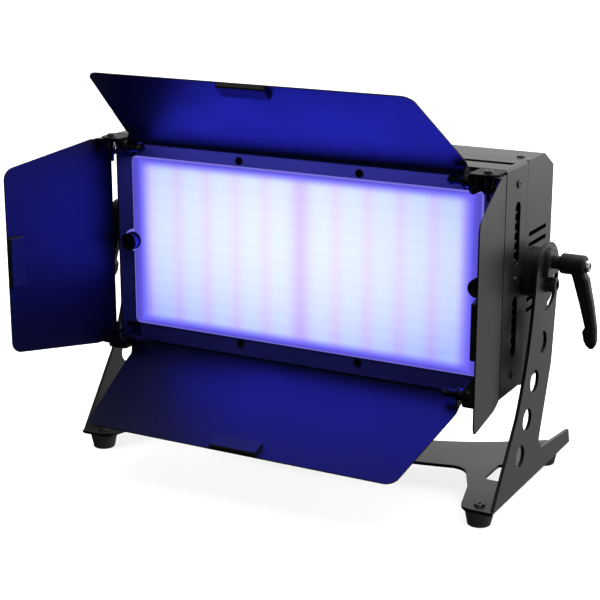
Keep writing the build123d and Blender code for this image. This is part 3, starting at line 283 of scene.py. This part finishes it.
def lit_window(name):
    """Frosted plate lit from behind: rows and columns of diodes blur into stripes, and the light
    fades to blue at the edges of the window and inside the rim."""
    # lengths in mm, from the middle of the housing
    half_width = 167.0
    half_height = 77.0
    raised = 0.5
    rim_half_width = 173.6
    rim_half_height = 78.9
    middle_column = 3.0
    first_column = 35.5
    column_pitch = 31.0
    pink_width = 6.5
    violet_width = 10.0
    row_pitch = 12.0
    thread_pitch = 6.2
    fade_x = 15.0
    fade_z = 9.0
    # colours in the brightest place and far from it
    white = ((0.84, 0.93, 1.02), (0.42, 0.52, 1.0))
    pink = ((0.88, 0.78, 1.0), (0.46, 0.37, 1.0))
    violet = ((0.74, 0.57, 1.0), (0.42, 0.27, 1.0))
    edge_blue = (0.15, 0.125, 0.95)

    g = Graph(name)
    low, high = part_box("front_shell")
    axes = g.node("SeparateXYZ", {0: g.place}).outputs
    x = g.multiply(axes["X"], 1 / MM)
    z = g.multiply(g.subtract(axes["Z"], (low.z + high.z) / 2), 1 / MM)

    def bell(value, width):
        """1 where value is 0, falling off with distance."""
        share = g.math("DIVIDE", value, width)
        return g.math("POWER", e, g.multiply(g.multiply(share, share), -1.0))

    def spread(value, middle, reach):
        """0 in the middle, rising with the square of the distance to 1 at its reach."""
        return g.math("POWER", g.math("DIVIDE", g.absolute(g.subtract(value, middle)), reach), 2.0)

    # columns: a wide violet one in the middle and narrower pink ones on each side
    aside = g.absolute(g.subtract(x, middle_column))
    from_first = g.subtract(aside, first_column)
    count = g.math("MAXIMUM", g.math("ROUND", g.math("DIVIDE", from_first, column_pitch)), 0.0)
    in_pink = bell(g.subtract(from_first, g.multiply(count, column_pitch)), pink_width)
    in_violet = bell(aside, violet_width)
    rows = g.math("SINE", g.multiply(z, 2 * pi / row_pitch))
    threads = g.math("SINE", g.multiply(x, 2 * pi / thread_pitch))
    ripple = g.add(g.multiply(rows, 0.012), g.multiply(threads, 0.006))
    # bright and nearly white left of and above the middle, bluer outwards
    outwards = g.add(g.multiply(spread(x, -8.0, 200.0), 0.75), spread(z, 18.0, 108.0), clamp=True)
    striped = g.mix(g.multiply(in_pink, 0.75), g.mix(outwards, *white), g.mix(outwards, *pink))
    centred = g.mix(g.multiply(in_violet, 0.8), striped, g.mix(outwards, *violet))
    rippled = g.node("VectorMath", {0: centred, "Scale": g.add(ripple, 1.0)}, operation="SCALE")
    # distance in from the window's edge
    edge_x = g.subtract(half_width, g.absolute(x))
    edge_z = g.subtract(half_height, g.absolute(g.subtract(z, raised)))
    inside = g.multiply(
        g.remap(edge_x, -1.0, fade_x, 0.0, 1.0, "SMOOTHSTEP"),
        g.remap(edge_z, -1.0, fade_z, 0.0, 1.0, "SMOOTHSTEP"),
    )
    window = g.mix(inside, edge_blue, rippled.outputs[0])
    # rim over the black flange, with a painted highlight glowing along its outer edge
    nearest = g.math("MINIMUM", edge_x, edge_z)
    flange = g.mix(g.remap(nearest, -6.0, -1.0, 0.0, 1.0), (0.085, 0.072, 0.55), (0.12, 0.10, 0.72))
    beyond = g.math(
        "MAXIMUM",
        g.subtract(g.absolute(x), rim_half_width),
        g.subtract(g.absolute(z), rim_half_height),
    )
    rim_and_edge_highlight = g.mix(g.remap(beyond, 0.0, 0.6, 0.0, 0.75), flange, (0.2, 0.18, 0.72))
    frost = g.noise(1800.0)
    return g.surface(
        colour=g.mix(frost, (0.05, 0.05, 0.06), (0.07, 0.07, 0.08)),
        rough=g.around(frost, 0.42, 0.5),
        normal=g.bump(frost, 0.02 * MM),
        glow=g.mix(g.remap(nearest, -0.8, 0.4, 0.0, 1.0), rim_and_edge_highlight, window),
        glow_strength=1.0,
    )


materials["acrylic"] = lit_window("acrylic")


def display_glass(name):
    """Dark window with a faint backlit field behind it."""
    g = Graph(name)
    cell = g.node("TexBrick", {"Vector": g.place, "Scale": 260.0, "Mortar Size": 0.08}).outputs["Fac"]
    return g.surface(
        colour=g.mix(cell, (0.012, 0.02, 0.024), (0.006, 0.01, 0.012)),
        rough=g.around(g.noise(40.0), 0.06, 0.12),
        coat=0.6,
    )


materials["display_glass"] = display_glass("display_glass")

for entry in frame["record"]["subparts"]:
    mesh = nodes[entry["node"]].data
    mesh.materials.clear()
    mesh.materials.append(materials[entry["material_slot"]])


# ---- helpers for new pieces ------------------------------------------------------------------
def islands(node):
    """Boxes (low, high) of the separate solids in a CAD node, in a fixed order."""
    bm = bmesh.new()
    bm.from_mesh(nodes[node].data)
    bmesh.ops.remove_doubles(bm, verts=bm.verts, dist=1e-6)
    left, boxes = set(bm.verts), []
    while left:
        stack, found = [left.pop()], []
        while stack:
            vert = stack.pop()
            found.append(vert.co.copy())
            for link in vert.link_edges:
                other = link.other_vert(vert)
                if other in left:
                    left.discard(other)
                    stack.append(other)
        boxes.append((Vector(map(min, *found)), Vector(map(max, *found))))
    bm.free()
    return sorted(boxes, key=lambda box: tuple(box[0]))


def add_mesh(name, bm, slot, body):
    """New smooth piece from a mesh, in its slot's material, riding on a body."""
    mesh = bpy.data.meshes.new(name)
    bm.to_mesh(mesh)
    bm.free()
    mesh.polygons.foreach_set("use_smooth", [True] * len(mesh.polygons))
    mesh.materials.append(materials[slot])
    piece = bpy.data.objects.new(name, mesh)
    bpy.context.scene.collection.objects.link(piece)
    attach(piece, body)
    return piece


def coil(bm, centre, axis, length, narrow, wide, wire, turns, steps=26, sides=8):
    """Conical spring round a line, of wire with this radius; the axis points to its wide end."""
    flat_turns = 0.75
    slack = 0.01 * MM
    along = axis.normalized()
    across = along.orthogonal().normalized()
    upright = along.cross(across)
    total = round(turns * steps)
    rings = []
    for i in range(total + 1):
        share = i / total
        angle = 2 * pi * turns * share
        # the end turns lie flat
        lift = min(max((share * turns - flat_turns) / (turns - 2 * flat_turns), 0.0), 1.0)
        middle = centre + along * ((lift - 0.5) * (length - 2 * wire - slack))
        outwards = across * cos(angle) + upright * sin(angle)
        radius = narrow + (wide - narrow) * lift - wire
        ring = []
        for j in range(sides):
            turn = 2 * pi * j / sides
            point = middle + outwards * (radius + wire * cos(turn)) + along * wire * sin(turn)
            ring.append(bm.verts.new(point))
        rings.append(ring)
    for a, b in zip(rings, rings[1:]):
        for j in range(sides):
            k = (j + 1) % sides
            bm.faces.new((a[j], a[k], b[k], b[j]))
    bm.faces.new(rings[0][::-1])
    bm.faces.new(rings[-1])


# ---- hinge springs ---------------------------------------------------------------------------
SPRING_WIRE = 0.55 * MM
SPRING_TAPER = 1.3 * MM
SPRING_TURNS = 6.0
SPRING_CLEAR = 0.02 * MM

springs = bmesh.new()
shell_low, shell_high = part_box("front_shell")
shell_middle = (shell_low + shell_high) / 2
for low, high in islands("hinge_springs"):
    middle = (low + high) / 2
    size = high - low
    # the wide end points away from the middle of the housing
    if abs(size.y - size.z) < 0.1 * MM:
        axis = Vector((1 if middle.x > 0 else -1, 0, 0))
    else:
        axis = Vector((0, 0, 1 if middle.z > shell_middle.z else -1))
    wide = size.y / 2 - SPRING_CLEAR
    length = abs(size.dot(axis))
    coil(springs, middle, axis, length, wide - SPRING_TAPER, wide, SPRING_WIRE, SPRING_TURNS)
spring_piece = add_mesh("hinge_coils", springs, "black_steel", "head")
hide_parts("hinge_springs")


# ---- floor -----------------------------------------------------------------------------------
def make_floor(reach=12.0):
    """Plain pale floor that reaches this far each way and adds nothing to the light on the lamp."""
    mesh = bpy.data.meshes.new("floor")
    corners = [(x * reach, y * reach, 0) for x, y in ((-1, -1), (1, -1), (1, 1), (-1, 1))]
    mesh.from_pydata(corners, [], [(0, 1, 2, 3)])
    g = Graph("studio_floor")
    g.surface(colour=(0.90, 0.90, 0.90), rough=0.55, gloss=0.3)
    mesh.materials.append(g.material)
    floor = bpy.data.objects.new("floor", mesh)
    floor.visible_diffuse = False
    floor.visible_glossy = False
    bpy.context.scene.collection.objects.link(floor)
    return floor


floor = make_floor()


# ---- light -----------------------------------------------------------------------------------
def area(name, location, target, size, watts, colour=(1, 1, 1)):
    """Softbox aimed at a point; the camera doesn't see it."""
    light = bpy.data.lights.new(name, "AREA")
    light.shape = "RECTANGLE"
    light.size, light.size_y = size
    light.energy = watts
    light.color = colour
    lamp = bpy.data.objects.new(name, light)
    lamp.visible_camera = False
    lamp.location = location
    lamp.rotation_euler = (Vector(target) - Vector(location)).to_track_quat("-Z", "Y").to_euler()
    bpy.context.scene.collection.objects.link(lamp)
    return lamp


def make_surroundings(behind, in_front, below, ceiling):
    """Studio round the lamp: bright backdrop behind it, ceiling above, dark room in front."""
    world = bpy.data.worlds.new("studio")
    world.use_nodes = True
    tree = world.node_tree
    axes = tree.nodes.new("ShaderNodeSeparateXYZ")
    tree.links.new(tree.nodes.new("ShaderNodeTexCoord").outputs["Generated"], axes.inputs[0])

    def ramp(value, low, high, to_low, to_high):
        made = tree.nodes.new("ShaderNodeMapRange")
        made.interpolation_type = "SMOOTHSTEP"
        tree.links.new(value, made.inputs["Value"])
        for key, number in (("From Min", low), ("From Max", high), ("To Min", to_low), ("To Max", to_high)):
            made.inputs[key].default_value = number
        return made.outputs[0]

    def combine(operation, a, b):
        made = tree.nodes.new("ShaderNodeMath")
        made.operation = operation
        tree.links.new(a, made.inputs[0])
        tree.links.new(b, made.inputs[1])
        return made.outputs[0]

    front_to_back = ramp(axes.outputs["Y"], -0.35, 0.85, in_front, behind)
    left_to_right = ramp(axes.outputs["X"], -0.5, 0.4, 0.5, 1.0)
    horizon = ramp(axes.outputs["Z"], -0.28, -0.08, below, 1.0)
    overhead = ramp(axes.outputs["Z"], 0.35, 1.0, 0.0, ceiling)
    walls = combine("MULTIPLY", combine("MULTIPLY", front_to_back, left_to_right), horizon)
    # the picture's own background is white all round; only light and reflections see the room
    in_picture = tree.nodes.new("ShaderNodeLightPath").outputs["Is Camera Ray"]
    strength = combine("MAXIMUM", combine("ADD", walls, overhead), in_picture)
    background = tree.nodes["Background"]
    background.inputs["Color"].default_value = (1, 1, 1, 1)
    tree.links.new(strength, background.inputs["Strength"])
    bpy.context.scene.world = world


def group(name, pieces):
    """Collection of pieces that a lamp can be limited to."""
    collection = bpy.data.collections.new(name)
    for piece in pieces:
        collection.objects.link(piece)
    return collection


def sun(name, strength, spread):
    """Sun straight overhead, as wide as this angle in degrees."""
    light = bpy.data.lights.new(name, "SUN")
    light.energy = strength
    light.angle = radians(spread)
    lamp = bpy.data.objects.new(name, light)
    bpy.context.scene.collection.objects.link(lamp)
    return lamp


make_surroundings(behind=2.0, in_front=0.05, below=0.2, ceiling=0.25)
area("softbox_top", (0.1, 0.3, 2.2), (0, 0, 0.2), (2.0, 2.0), 16)
area("softbox_right", (0.6, 0.3, 0.85), (0.19, 0.05, 0.3), (0.3, 0.3), 3.0)
area("softbox_left", (-1.9, -1.5, 1.3), (0, 0, 0.2), (1.2, 1.6), 2.4)

# the clamps and feet are matt black, and get a softbox of their own
fill = area("softbox_front", (1.3, -1.7, 0.5), (0.19, 0, 0.15), (0.8, 0.8), 9.0)
MATT_PARTS = ("rubber", "clamp", "pivot", "lever", "foot")
matt_pieces = [nodes[name] for name in nodes if name.startswith(MATT_PARTS)]
fill.light_linking.receiver_collection = group("lit_by_the_fill", matt_pieces)

# the floor has its own light, so that it stays white round a dark lamp
wash = sun("floor_wash", 4.1, 70)
floor_only = group("lit_by_the_wash", [floor])
wash.light_linking.receiver_collection = floor_only
wash.light_linking.blocker_collection = floor_only

# the beam itself: saturated light in front of the plate that colours the doors round it
BEAM_BLUE = (0.036, 0.042, 1.0)
DOOR_BLUE = (0.11, 0.115, 1.0)
low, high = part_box("diffuser_panel")
centre = (low + high) / 2
front = low.y - 3 * MM
aim = (-0.01, front - 1, centre.z - 0.035)
beam = area("beam", (0, front, centre.z), aim, (0.33, 0.146), 1.75, BEAM_BLUE)
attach(beam, "head")
plate = nodes["diffuser_panel"]
round_the_plate = [piece for piece in nodes.values() if piece is not plate]
beam.light_linking.receiver_collection = group("lit_by_the_beam", [*round_the_plate, spring_piece])
# the plate's own near-white look stays on the plate: the beam above lights the rest
plate.light_linking.receiver_collection = group("lit_by_the_plate", [plate])

# blue light that the long doors throw back on the frame round the window
window_frame = group("lit_by_the_doors", [nodes["barn_door_frame"]])
for name, away, height, depth, power in (
    ("top_door_bounce", 0.07, high.z + 0.05, 0.06, 4.6),
    ("bottom_door_bounce", 0.12, centre.z, 0.18, 1.4),
):
    aim = (0, low.y, min(height, high.z))
    bounce = area(name, (0, low.y - away, height), aim, (0.36, depth), power, DOOR_BLUE)
    bounce.visible_glossy = False
    bounce.light_linking.receiver_collection = window_frame
    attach(bounce, "head")
